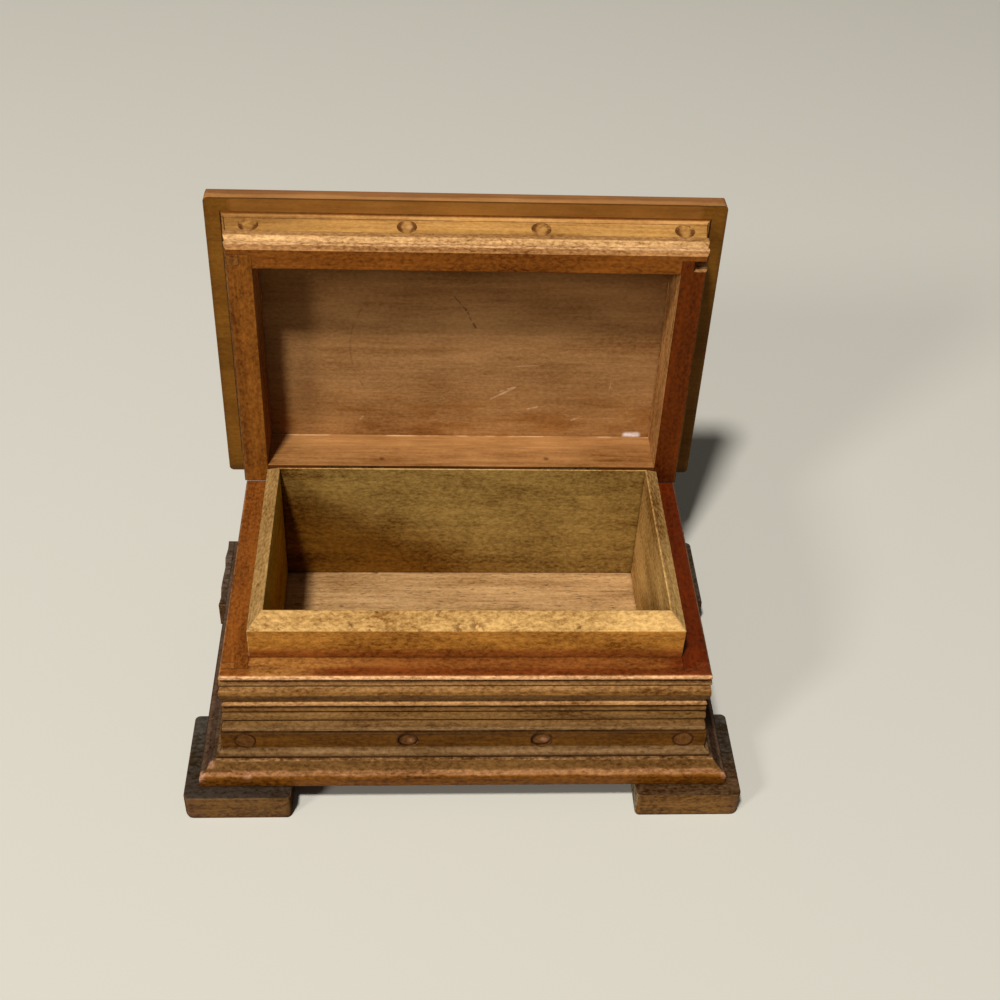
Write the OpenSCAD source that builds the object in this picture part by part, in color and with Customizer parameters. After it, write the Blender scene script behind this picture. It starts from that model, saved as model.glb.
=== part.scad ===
// Small wooden keepsake box on a moulded plinth with four plate feet. A thin raised liner
// stands inside the case and the hinged lid drops over it. The lid is drawn standing open.
// Millimetres. The origin lies on the table, under the middle of the box as it stands open:
// halfway between the front of the feet and the back of the lid. +Z is up, +X is to the
// right and the front of the box faces -Y.

/* [Case] */
// Width of the case across its rim
case_w = 132; // [110:1:170]
// Depth of the case across its rim
case_d = 80.8; // [70:0.2:110]
// Height of the rim above the table
rim_h = 45.8; // [44:0.2:60]
// Thickness of the side and back boards at the rim
wall_t = 7.6; // [7:0.1:9]
// Thickness of the front board at the rim
front_t = 6.9; // [6.4:0.1:8]

/* [Lid] */
// Height of the lid frame
lid_frame_h = 15.7; // [15.4:0.1:20]
// Thickness of the side and back boards of the lid frame
lid_wall_t = 6.9; // [6.5:0.1:7]
// Thickness of the front board of the lid frame
lid_front_t = 5.9; // [5:0.1:6]
// Thickness of the top board
top_t = 6.1; // [4:0.1:9]
// How far the top board stands out past the frame
top_over = 7.3; // [4:0.1:9]
// How far the lid stands open, in degrees
open_angle = 91.9; // [90:0.1:94]
// Gap between the two rims when the lid is shut
rim_gap = 0.3; // [0.2:0.1:0.6]

/* [Plinth and feet] */
// How far the plinth stands out past the case
plinth_over = 7.3; // [5:0.1:9]
// How far each foot stands out past the plinth
foot_over = 4.2; // [2:0.1:6]
// Length of each side of a square foot
foot_len = 29.4; // [20:0.2:34]
// Thickness of a foot
foot_h = 8.6; // [6:0.1:9]
// Width of the sliver split off the outer edge of the back left foot
split_w = 1.7; // [0.5:0.1:3]

/* [Liner] */
// Thickness of the liner boards
liner_t = 4.2; // [3:0.1:5]
// Height of the liner above the rim
liner_rise = 13.8; // [8:0.1:14]
// Height of the bevel along the top of the liner
liner_bevel = 4.2; // [2:0.1:4.2]
// Thickness of the floor board
floor_t = 2; // [1.5:0.1:3]

/* [Corner joints] */
// Wood left in front of the joint on the case
case_lip = 2.9; // [2:0.1:4]
// Wood left in front of the joint on the lid
lid_lip = 1.8; // [1.2:0.1:2.6]
// Width of the tongue on each side board
tongue_w = 3.5; // [2.5:0.1:4]
// Distance from the front to the shoulder of a side board
shoulder = 5; // [4.5:0.1:5.8]
// Height of the missing end of the filler strip on the right of the lid
broken_h = 5.5; // [3:0.5:9]

/* [Plugs] */
// Diameter of the round wooden plugs
plug_d = 5.6; // [4:0.1:6]
// Depth of the plug holes, which pin the corner joints
plug_l = 4.6; // [4:0.1:5]

/* [Hinges] */
// Distance of each hinge from the middle of the box
hinge_x = 33; // [20:1:44]
// Length of a hinge
hinge_l = 18; // [12:1:24]
// Thickness of a hinge leaf
leaf_t = 0.6; // [0.4:0.1:0.8]
// Radius of the hinge barrel
barrel_r = 1.1; // [0.9:0.1:1.4]
// Radius of the hinge pin
pin_r = 0.5; // [0.4:0.05:0.6]

/* [Hidden] */
$fn = 96;

half_w = case_w / 2;
half_d = case_d / 2;
big = 300;
cut = 0.02;
// Farther out from the rim than any member of a moulding stands
outside = 9;

// The hinge axis lies inside the back faces, so that two bevels behind it meet as a stop.
axis_in = barrel_r;
top_arris_r = 1.8;
top_corner_r = 1.4;

// How far the open lid reaches behind the middle of the case, and from that the place of
// the case, which puts the origin under the middle of the whole open box
lid_reach = half_d - axis_in + top_arris_r
  - (case_d - axis_in + top_over - top_arris_r) * cos(open_angle)
  + (rim_gap / 2 + lid_frame_h + top_t - top_arris_r) * sin(open_angle);
mid_y = (half_d + plinth_over + foot_over - lid_reach) / 2;
front_y = mid_y - half_d;
back_y = mid_y + half_d;

// The case moulding sits on the plinth. Its members stand on a ground just behind the rim.
mould_h = 30.7;
plinth_top = rim_h - mould_h;
core = 2;
rim_r = 1;
ground = 0.8;
frieze_d = 22.1;
frieze_p = 1.15;
cove_d = 27.9;
cove_r = 1.5;
base_p = 2.65;
nose_r = 1.2;
nose_drop = 2.4;
foot_toe_r = 2.6;
foot_heel_r = 1.2;
foot_corner_r = 1.5;
split_steps = 7;
split_wander = 0.25;
split_turn = 137;
ledge_w = 1.1;

lid_ground = 0.6;
lid_frieze_d = 8.7;
lid_frieze_p = 0.75;
lid_frieze_lean = 1.15;
lid_cove_r = 1.2;

axis_y = back_y - axis_in;
axis_z = rim_h + rim_gap / 2;
stop_gap = 0.2;
barrel_room = 0.3;
knuckle_n = 5;
knuckle_gap = 0.3;
pin_play = 0.05;
leaf_w = 5.4;
screw_x = 5.4;
screw_l = 7;
screw_r = 0.8;
screw_head_r = 1.5;
screw_head_h = 0.55;
screw_tip_r = 0.15;
screw_tip_l = 1;

case_plug_x = [-half_w + 5.5, -16, 21, half_w - 5.2];
case_plug_z = rim_h - 25;
lid_plug_x = [-half_w + 5.2, -17, 20.5, half_w - 5];
lid_plug_z = lid_frame_h - 4.1;
lid_plug_lean = atan(lid_frieze_lean / (lid_frame_h - lid_frieze_d));
lid_plug_p = lid_frieze_p + tan(lid_plug_lean) * (lid_plug_z - lid_frieze_d);
lid_cove_step = 0.12;
lid_cove_p = lid_frieze_p + lid_cove_step
  + tan(lid_plug_lean) * (lid_frame_h - lid_cove_r - lid_frieze_d);
plug_proud = 0.08;
// The two middle plugs of the case lie below the frieze
case_plug_sunk = [0, 0.6, 0.6, 0];

wood_mid = "#9c6a36";
wood_dark = "#4a352b";
wood_red = "#7a2f16";
wood_gold = "#b8924c";
brass = "#b79a5a";

// Moulding sections. X is the distance out from the rim, Y the distance from the rim, and
// every member reaches a little way into the board behind it.
module flat_member(d0, d1, out) {
  translate([-core, d0]) square([core + out, d1 - d0]);
}

module round_member(d0, d1, fullest, out, r) {
  // A round band or bead between two quirks, standing out furthest at its fullest point
  intersection() {
    translate([out - r, fullest]) circle(r = r);
    flat_member(d0, d1, out);
  }
}

module case_section(depth) {
  // Board behind the members, with the rim kept back so that its arris can be round
  translate([-depth, 0]) square([depth - rim_r, mould_h]);
  translate([-depth, rim_r]) square([depth - ground, mould_h - rim_r]);
  translate([-rim_r, rim_r]) circle(r = rim_r);
  flat_member(2.6, 3.5, 0.1);
  round_member(4.1, 9.4, 7.2, 0.45, 7);
  round_member(10.6, 12.6, 11.6, -0.05, 1);
  flat_member(13.1, 14.1, -0.05);
  round_member(14.7, 17.5, 16.5, 0.2, 5);
  round_member(18.1, 21.9, 20.8, 0.6, 6);
  // Frieze that holds the plugs, and the cove that runs out to the plinth
  flat_member(frieze_d, mould_h, frieze_p);
  difference() {
    flat_member(cove_d, mould_h, base_p);
    translate([frieze_p + cove_r, cove_d]) circle(r = cove_r);
  }
}

module lid_section(depth) {
  translate([-depth, 0]) square([depth - lid_ground, lid_frame_h]);
  round_member(0, 3.2, 2.6, 0.74, 4.2);
  round_member(3.5, 8.3, 7.2, 1.25, 8);
  // Frieze that holds the plugs, leaning out towards the top board
  polygon([[-core, lid_frieze_d], [lid_frieze_p, lid_frieze_d],
    [lid_frieze_p + lid_frieze_lean, lid_frame_h], [-core, lid_frame_h]]);
  // Small cove between the frieze and the top board, which starts with a fine step
  difference() {
    translate([-core, lid_frame_h - lid_cove_r]) square([core + lid_cove_p + lid_cove_r, lid_cove_r]);
    translate([lid_cove_p + lid_cove_r, lid_frame_h - lid_cove_r]) circle(r = lid_cove_r);
  }
}

// Solids bounded by a section: faced runs along the front, ended runs along both sides.
module faced() {
  translate([-big / 2, front_y, 0]) rotate([90, 0, 90])
    linear_extrude(height = big) mirror([1, 0]) children();
}

module ended() {
  for (side = [0, 1]) mirror([side, 0, 0])
    translate([half_w, back_y, 0]) rotate([90, 0, 0])
      linear_extrude(height = case_d + 2 * outside) children();
}

module case_face() {
  translate([0, 0, rim_h]) mirror([0, 0, 1]) faced() case_section(case_d);
}

module case_ends() {
  translate([0, 0, rim_h]) mirror([0, 0, 1]) ended() case_section(half_w + 1);
}

module lid_face() {
  faced() lid_section(case_d);
}

module lid_ends() {
  ended() lid_section(half_w + 1);
}

// Plan regions of the corner joint, for the left corner: the front board keeps a lip over
// its whole width, the side board sends a tongue in behind it, and a strip fills the rest.
module block(x0, x1, y0, y1, z0, z1) {
  translate([x0, y0, z0]) cube([x1 - x0, y1 - y0, z1 - z0]);
}

module front_region(side_t, board_t, lip, z0, z1) {
  block(-big, big, front_y - outside, front_y + lip, z0, z1);
  block(-half_w + side_t, half_w - side_t, front_y, front_y + board_t, z0, z1);
}

module side_region(side_t, lip, z0, z1) {
  block(-half_w - outside, -half_w + side_t, front_y + shoulder, back_y, z0, z1);
  block(-half_w + side_t - tongue_w, -half_w + side_t, front_y + lip, front_y + shoulder + 1, z0, z1);
}

module strip_region(side_t, lip, z0, z1) {
  block(-half_w - outside, -half_w + side_t - tongue_w, front_y + lip, front_y + shoulder, z0, z1);
}

// Bevel behind the hinge axis. The bevels of the case and the lid come together when the
// lid is open, and stop it there.
module case_bevel() {
  translate([-big / 2, axis_y, axis_z]) rotate([-open_angle / 2, 0, 0])
    translate([0, 0, -stop_gap / 2]) cube([big, outside, outside]);
}

module lid_bevel() {
  translate([0, 0, 2 * axis_z]) mirror([0, 0, 1]) case_bevel();
}

module at_hinges() {
  for (side = [-1, 1]) translate([side * hinge_x, axis_y, axis_z]) children();
}

module hinge_seat() {
  // Shallow seat for the leaf and a round trough for the barrel, level with the back
  translate([-hinge_l / 2 - cut, -leaf_w, -rim_gap / 2 - leaf_t])
    cube([hinge_l + 2 * cut, leaf_w, leaf_t + 1]);
  translate([-hinge_l / 2 - barrel_room, 0, 0]) rotate([0, 90, 0])
    cylinder(r = barrel_r + barrel_room, h = hinge_l + 2 * barrel_room);
}

module screw() {
  // A countersunk screw pointing down from the upper face of a leaf
  translate([0, 0, -screw_head_h]) cylinder(r1 = screw_r, r2 = screw_head_r, h = screw_head_h);
  translate([0, 0, screw_tip_l - screw_l])
    cylinder(r = screw_r, h = screw_l - screw_head_h - screw_tip_l + cut);
  translate([0, 0, -screw_l]) cylinder(r1 = screw_tip_r, r2 = screw_r, h = screw_tip_l + cut);
}

module at_screws() {
  for (side = [-1, 1])
    translate([side * screw_x, -(leaf_w + barrel_r) / 2, -rim_gap / 2]) children();
}

module knuckle(i) {
  step = hinge_l / knuckle_n;
  x0 = -hinge_l / 2 + i * step + knuckle_gap / 2;
  len = step - knuckle_gap;
  translate([x0, 0, 0]) rotate([0, 90, 0]) cylinder(r = barrel_r, h = len);
  translate([x0, -leaf_w / 2 - 0.5, -rim_gap / 2 - leaf_t]) cube([len, leaf_w / 2 + 0.5, leaf_t]);
}

module hinge_leaf(knuckles, bore_r) {
  color(brass) difference() {
    union() {
      translate([-hinge_l / 2, -leaf_w, -rim_gap / 2 - leaf_t])
        cube([hinge_l, leaf_w - barrel_r - barrel_room, leaf_t]);
      for (i = knuckles) knuckle(i);
    }
    translate([-hinge_l, 0, 0]) rotate([0, 90, 0]) cylinder(r = bore_r, h = 2 * hinge_l);
    at_screws() screw();
  }
}

module hinge_pin() {
  color(brass) translate([-hinge_l / 2, 0, 0]) rotate([0, 90, 0]) cylinder(r = pin_r, h = hinge_l);
}

// The lid is drawn shut, with z = 0 at its rim, and then swung open about the hinge axis.
module open_lid() {
  translate([0, axis_y, axis_z]) rotate([-open_angle, 0, 0]) translate([0, -axis_y, -axis_z])
    children();
}

module on_rim() {
  translate([0, 0, rim_h + rim_gap]) children();
}

// Feet and plinth
module rounded(x0, x1, y0, y1, r) {
  // Rectangle with true round corners
  translate([x0 + r, y0]) square([x1 - x0 - 2 * r, y1 - y0]);
  translate([x0, y0 + r]) square([x1 - x0, y1 - y0 - 2 * r]);
  for (x = [x0 + r, x1 - r]) for (y = [y0 + r, y1 - r]) translate([x, y]) circle(r = r);
}

module foot(sx, sy) {
  out_x = half_w + plinth_over + foot_over;
  out_y = half_d + plinth_over + foot_over;
  color(wood_dark) translate([0, mid_y, 0]) mirror([sx < 0 ? 1 : 0, 0, 0])
    mirror([0, sy < 0 ? 1 : 0, 0]) intersection() {
      // Seen from the front both lower corners are rounded, the outer one more
      translate([0, big / 2, 0]) rotate([90, 0, 0]) linear_extrude(height = big) union() {
        translate([out_x - foot_len, foot_toe_r]) square([foot_len, foot_h - foot_toe_r]);
        translate([out_x - foot_len + foot_heel_r, 0])
          square([foot_len - foot_heel_r - foot_toe_r, foot_h]);
        translate([out_x - foot_len, foot_heel_r])
          square([foot_len - foot_toe_r, foot_h - foot_heel_r]);
        translate([out_x - foot_len + foot_heel_r, foot_heel_r]) circle(r = foot_heel_r);
        translate([out_x - foot_toe_r, foot_toe_r]) circle(r = foot_toe_r);
      }
      linear_extrude(height = foot_h)
        rounded(out_x - foot_len, out_x, out_y - foot_len, out_y, foot_corner_r);
    }
}

module split_edge() {
  // Everything outside the break, which wanders a little along the edge of the foot
  edge_x = -half_w - plinth_over - foot_over;
  back_end = mid_y + half_d + plinth_over + foot_over + 1;
  step = (foot_len + 2) / split_steps;
  translate([0, 0, -1]) linear_extrude(height = foot_h + 2)
    polygon(concat([[edge_x - 1, back_end - foot_len - 2], [edge_x - 1, back_end]],
      [for (i = [0:split_steps])
        [edge_x + split_w + split_wander * sin(split_turn * i), back_end - i * step]]));
}

module foot_front_left() {
  foot(-1, -1);
}

module foot_front_right() {
  foot(1, -1);
}

module foot_back_left() {
  color(wood_dark) difference() {
    foot(-1, 1);
    split_edge();
  }
}

module foot_back_right() {
  foot(1, 1);
}

module plinth_section(reach) {
  // Half of the board seen from its end: nose, slope and the narrow ledge round the case
  edge = reach + plinth_over;
  nose_top = plinth_top - nose_drop;
  translate([0, foot_h]) square([edge, nose_top - nose_r - foot_h]);
  translate([edge - nose_r, nose_top - nose_r]) circle(r = nose_r);
  polygon([[0, foot_h], [edge - nose_r, foot_h], [edge - nose_r, nose_top],
    [reach + base_p + ledge_w, plinth_top], [0, plinth_top]]);
}

module plinth_bar(reach) {
  for (side = [0, 1]) mirror([side, 0, 0])
    translate([0, big / 2, 0]) rotate([90, 0, 0]) linear_extrude(height = big) plinth_section(reach);
}

module plinth_board() {
  color(wood_mid) translate([0, mid_y, 0]) intersection() {
    plinth_bar(half_w);
    rotate([0, 0, 90]) plinth_bar(half_d);
  }
}

// Case
module case_frame() {
  intersection() {
    case_face();
    case_ends();
    children();
  }
}

module lid_frame() {
  on_rim() intersection() {
    lid_face();
    lid_ends();
    children();
  }
}

module case_plug(x, grow) {
  translate([x, front_y + plug_l - frieze_p, case_plug_z]) rotate([90, 0, 0])
    cylinder(d = plug_d, h = plug_l + grow);
}

module case_plug_holes() {
  for (x = case_plug_x) case_plug(x, 4);
}

module case_front_board() {
  color(wood_mid) difference() {
    case_frame() front_region(wall_t, front_t, case_lip, 0, rim_h);
    case_plug_holes();
  }
}

module case_side_board(right) {
  difference() {
    mirror([right, 0, 0]) case_frame() side_region(wall_t, case_lip, 0, rim_h);
    case_bevel();
    case_plug_holes();
  }
}

module case_left_board() {
  color(wood_mid) case_side_board(0);
}

module case_right_board() {
  color(wood_red) case_side_board(1);
}

module case_corner_strip(right) {
  difference() {
    mirror([right, 0, 0]) case_frame() strip_region(wall_t, case_lip, 0, rim_h);
    case_plug_holes();
  }
}

module case_corner_strip_left() {
  color(wood_mid) case_corner_strip(0);
}

module case_corner_strip_right() {
  color(wood_red) case_corner_strip(1);
}

module case_back_board() {
  color(wood_dark) difference() {
    block(-half_w + wall_t, half_w - wall_t, back_y - wall_t, back_y, plinth_top, rim_h);
    case_bevel();
    at_hinges() {
      hinge_seat();
      at_screws() screw();
    }
  }
}

module case_plugs() {
  color(wood_dark) for (i = [0:3]) case_plug(case_plug_x[i], plug_proud - case_plug_sunk[i]);
}

// Floor and liner
floor_z = plinth_top + floor_t;
liner_x = half_w - wall_t;
liner_y0 = front_y + front_t;
liner_y1 = back_y - wall_t;
// Narrow flat left between the bevel and the inner face
liner_flat = 0.4;

module floor_board() {
  color("#c2976a") block(-liner_x, liner_x, liner_y0, liner_y1, plinth_top, floor_z);
}

module liner_section() {
  // X runs inwards from the outer face
  top = rim_h + liner_rise;
  polygon([[0, floor_z], [liner_t, floor_z], [liner_t, top], [liner_t - liner_flat, top],
    [0, top - liner_bevel + liner_flat]]);
}

module liner_board(len) {
  // A board along X with its outer face at y = 0, mitred at both ends
  difference() {
    translate([-len / 2, 0, 0]) rotate([90, 0, 90]) linear_extrude(height = len) liner_section();
    for (side = [0, 1]) mirror([side, 0, 0])
      translate([len / 2, 0, 0]) rotate([0, 0, 45]) translate([0, -big / 2, 0]) cube(big);
  }
}

module liner_front_board() {
  color(wood_gold) translate([0, liner_y0, 0]) liner_board(2 * liner_x);
}

module liner_back_board() {
  color(wood_gold) translate([0, liner_y1, 0]) rotate([0, 0, 180]) liner_board(2 * liner_x);
}

module liner_left_board() {
  color(wood_gold) translate([-liner_x, (liner_y0 + liner_y1) / 2, 0]) rotate([0, 0, -90])
    liner_board(liner_y1 - liner_y0);
}

module liner_right_board() {
  color(wood_gold) translate([liner_x, (liner_y0 + liner_y1) / 2, 0]) rotate([0, 0, 90])
    liner_board(liner_y1 - liner_y0);
}

// Hinges
module hinge_case_leaf() {
  hinge_leaf([0, 2, 4], pin_r);
}

module hinge_lid_leaf() {
  open_lid() translate([0, axis_y, axis_z]) mirror([0, 0, 1]) hinge_leaf([1, 3], pin_r + pin_play);
}

module hinge_case_leaf_left() {
  translate([-hinge_x, axis_y, axis_z]) hinge_case_leaf();
}

module hinge_case_leaf_right() {
  translate([hinge_x, axis_y, axis_z]) hinge_case_leaf();
}

module hinge_pin_left() {
  translate([-hinge_x, axis_y, axis_z]) hinge_pin();
}

module hinge_pin_right() {
  translate([hinge_x, axis_y, axis_z]) hinge_pin();
}

module hinge_case_screws() {
  color(brass) at_hinges() at_screws() screw();
}

module hinge_lid_leaf_left() {
  translate([-hinge_x, 0, 0]) hinge_lid_leaf();
}

module hinge_lid_leaf_right() {
  translate([hinge_x, 0, 0]) hinge_lid_leaf();
}

module hinge_lid_screws() {
  color(brass) open_lid() at_hinges() mirror([0, 0, 1]) at_screws() screw();
}

// Lid
module lid_plug(x, grow) {
  // Square to the leaning frieze
  translate([x, front_y - lid_plug_p, lid_plug_z]) rotate([90 + lid_plug_lean, 0, 0])
    translate([0, 0, -plug_l]) cylinder(d = plug_d, h = plug_l + grow);
}

module lid_plug_holes() {
  on_rim() for (x = lid_plug_x) lid_plug(x, 4);
}

module lid_plugs() {
  color(wood_dark) open_lid() on_rim() for (x = lid_plug_x) lid_plug(x, plug_proud);
}

module lid_front_board() {
  color(wood_mid) open_lid() difference() {
    lid_frame() front_region(lid_wall_t, lid_front_t, lid_lip, 0, lid_frame_h);
    lid_plug_holes();
  }
}

module lid_side_board(right) {
  open_lid() difference() {
    mirror([right, 0, 0]) lid_frame() side_region(lid_wall_t, lid_lip, 0, lid_frame_h);
    lid_bevel();
    lid_plug_holes();
  }
}

module lid_left_board() {
  color(wood_mid) lid_side_board(0);
}

module lid_right_board() {
  color(wood_red) lid_side_board(1);
}

module lid_corner_strip(right, from_z) {
  open_lid() difference() {
    mirror([right, 0, 0]) lid_frame() strip_region(lid_wall_t, lid_lip, from_z, lid_frame_h);
    lid_plug_holes();
  }
}

module lid_corner_strip_left() {
  color(wood_mid) lid_corner_strip(0, 0);
}

module lid_corner_strip_right() {
  color(wood_red) lid_corner_strip(1, broken_h);
}

module lid_back_board() {
  color(wood_mid) open_lid() difference() {
    on_rim() block(-half_w + lid_wall_t, half_w - lid_wall_t, back_y - lid_wall_t, back_y,
      0, lid_frame_h);
    lid_bevel();
    at_hinges() mirror([0, 0, 1]) {
      hinge_seat();
      at_screws() screw();
    }
  }
}

module top_section(reach) {
  // Half of the top board seen from its end, with the upper arris rounded
  square([reach + top_over, top_t - top_arris_r]);
  square([reach + top_over - top_arris_r, top_t]);
  translate([reach + top_over - top_arris_r, top_t - top_arris_r]) circle(r = top_arris_r);
}

module top_bar(reach) {
  for (side = [0, 1]) mirror([side, 0, 0])
    translate([0, big / 2, 0]) rotate([90, 0, 0]) linear_extrude(height = big) top_section(reach);
}

module lid_top_board() {
  color(wood_mid) open_lid() on_rim() translate([0, mid_y, lid_frame_h]) intersection() {
    top_bar(half_w);
    rotate([0, 0, 90]) top_bar(half_d);
    linear_extrude(height = top_t) rounded(-half_w - top_over, half_w + top_over,
      -half_d - top_over, half_d + top_over, top_corner_r);
  }
}

foot_front_left();
foot_front_right();
foot_back_left();
foot_back_right();
plinth_board();
case_front_board();
case_back_board();
case_left_board();
case_right_board();
case_corner_strip_left();
case_corner_strip_right();
case_plugs();
floor_board();
liner_front_board();
liner_back_board();
liner_left_board();
liner_right_board();
hinge_case_leaf_left();
hinge_case_leaf_right();
hinge_pin_left();
hinge_pin_right();
hinge_case_screws();
lid_top_board();
lid_front_board();
lid_back_board();
lid_left_board();
lid_right_board();
lid_corner_strip_left();
lid_corner_strip_right();
lid_plugs();
hinge_lid_leaf_left();
hinge_lid_leaf_right();
hinge_lid_screws();
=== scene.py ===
# %% [markdown]
# # A small wooden keepsake box
#
# The box is a case of thin moulded boards on a wider plinth, with four plate feet. A raised
# liner stands inside the case, and the lid, a moulded frame under an overhanging board, drops
# over it. All the boards come from the packed model as they are. This script gives them their
# wood, their wear and their light.

# %% Load the packed box
import math

import bpy
from mathutils import Matrix, Vector


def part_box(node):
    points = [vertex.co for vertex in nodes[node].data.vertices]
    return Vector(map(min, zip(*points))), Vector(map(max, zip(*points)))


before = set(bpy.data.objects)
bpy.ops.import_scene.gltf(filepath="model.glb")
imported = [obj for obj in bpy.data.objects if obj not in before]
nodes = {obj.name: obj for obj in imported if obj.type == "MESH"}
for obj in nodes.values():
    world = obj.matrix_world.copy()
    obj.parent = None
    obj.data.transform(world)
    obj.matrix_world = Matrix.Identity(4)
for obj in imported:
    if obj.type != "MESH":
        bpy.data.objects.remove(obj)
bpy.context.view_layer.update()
print("boards and fittings:", len(nodes))

# %% [markdown]
# ## The camera
#
# The box is seen from the front and well above, a little from the left. A camera could be
# aimed with a tracking constraint, but a fixed rotation built from pitch, yaw and roll is
# exact and easy to read: the camera looks along its own -Z, so its axes are worked out once
# and written into its matrix.

# %% Camera
PICTURE_PX = 1000
FOCAL_PX = 1409.44
SENSOR_MM = 36.0
NEAREST = 0.01
PITCH, YAW, ROLL = (math.radians(a) for a in (41.183, 4.334, 3.159))
EYE = Vector((-0.01304, -0.29736, 0.32842))


def camera_axes(pitch, yaw, roll):
    look = Vector((math.sin(yaw) * math.cos(pitch), math.cos(yaw) * math.cos(pitch), -math.sin(pitch)))
    level = Vector((math.cos(yaw), -math.sin(yaw), 0.0))
    upright = level.cross(look)
    right = math.cos(roll) * level + math.sin(roll) * upright
    up = -math.sin(roll) * level + math.cos(roll) * upright
    return right, up, look


right, up, look = camera_axes(PITCH, YAW, ROLL)
camera = bpy.data.objects.new("camera", bpy.data.cameras.new("camera"))
bpy.context.scene.collection.objects.link(camera)
camera.data.sensor_width = SENSOR_MM
camera.data.lens = SENSOR_MM * FOCAL_PX / PICTURE_PX
camera.data.clip_start = NEAREST
camera.matrix_world = Matrix.Translation(EYE) @ Matrix((right, up, -look)).transposed().to_4x4()
bpy.context.scene.camera = camera
print("camera lens (mm):", round(camera.data.lens, 2))

# %% [markdown]
# ## Where things are on the box
#
# The finishes need to know where a board's rim, its frieze or its inner face is. The main
# places are read from the packed pieces, so that a finish follows them, and the widths of
# single mouldings are written in millimetres from there. The lid is modelled standing open.
# Its finishes are laid out as on a shut lid, which is how the real box was stained, so the
# script also needs the hinge axis and the opening angle.

# %% Measures of the box
MM = 0.001
FRONT_BOARD_T = 6.9 * MM
SIDE_BOARD_T = 7.6 * MM
OPEN_ANGLE = math.radians(91.9)


def low(name):
    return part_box(name)[0]


def high(name):
    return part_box(name)[1]


rim_z = high("case_front_board")[2]
case_front_y = low("liner_front_board")[1] - FRONT_BOARD_T
case_half_w = high("liner_front_board")[0] + SIDE_BOARD_T
hinge_y = (low("hinge_pin_left")[1] + high("hinge_pin_left")[1]) / 2
hinge_z = (low("hinge_pin_left")[2] + high("hinge_pin_left")[2]) / 2
print("rim height (mm):", round(rim_z / MM, 2))
print("hinge axis (mm):", round(hinge_y / MM, 2), round(hinge_z / MM, 2))

# %% [markdown]
# ## A small kit for finishes
#
# Blender builds a material from nodes. Made one by one in code, a wood of so many nodes is hard
# to read, so this class wraps the few kinds that the box needs in short verbs: a sum, a blend
# of two colours, a noise, a soft step. A mask is a number from 0 to 1 that says how far a
# finish holds at a place. Each finish also knows the place itself, twice: `here` is on the box
# as it stands, and `shut`, with its parts x, y and z, is the same place with the lid swung
# down. `face_x` to `face_z` say which way the face at that place is turned.

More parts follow.
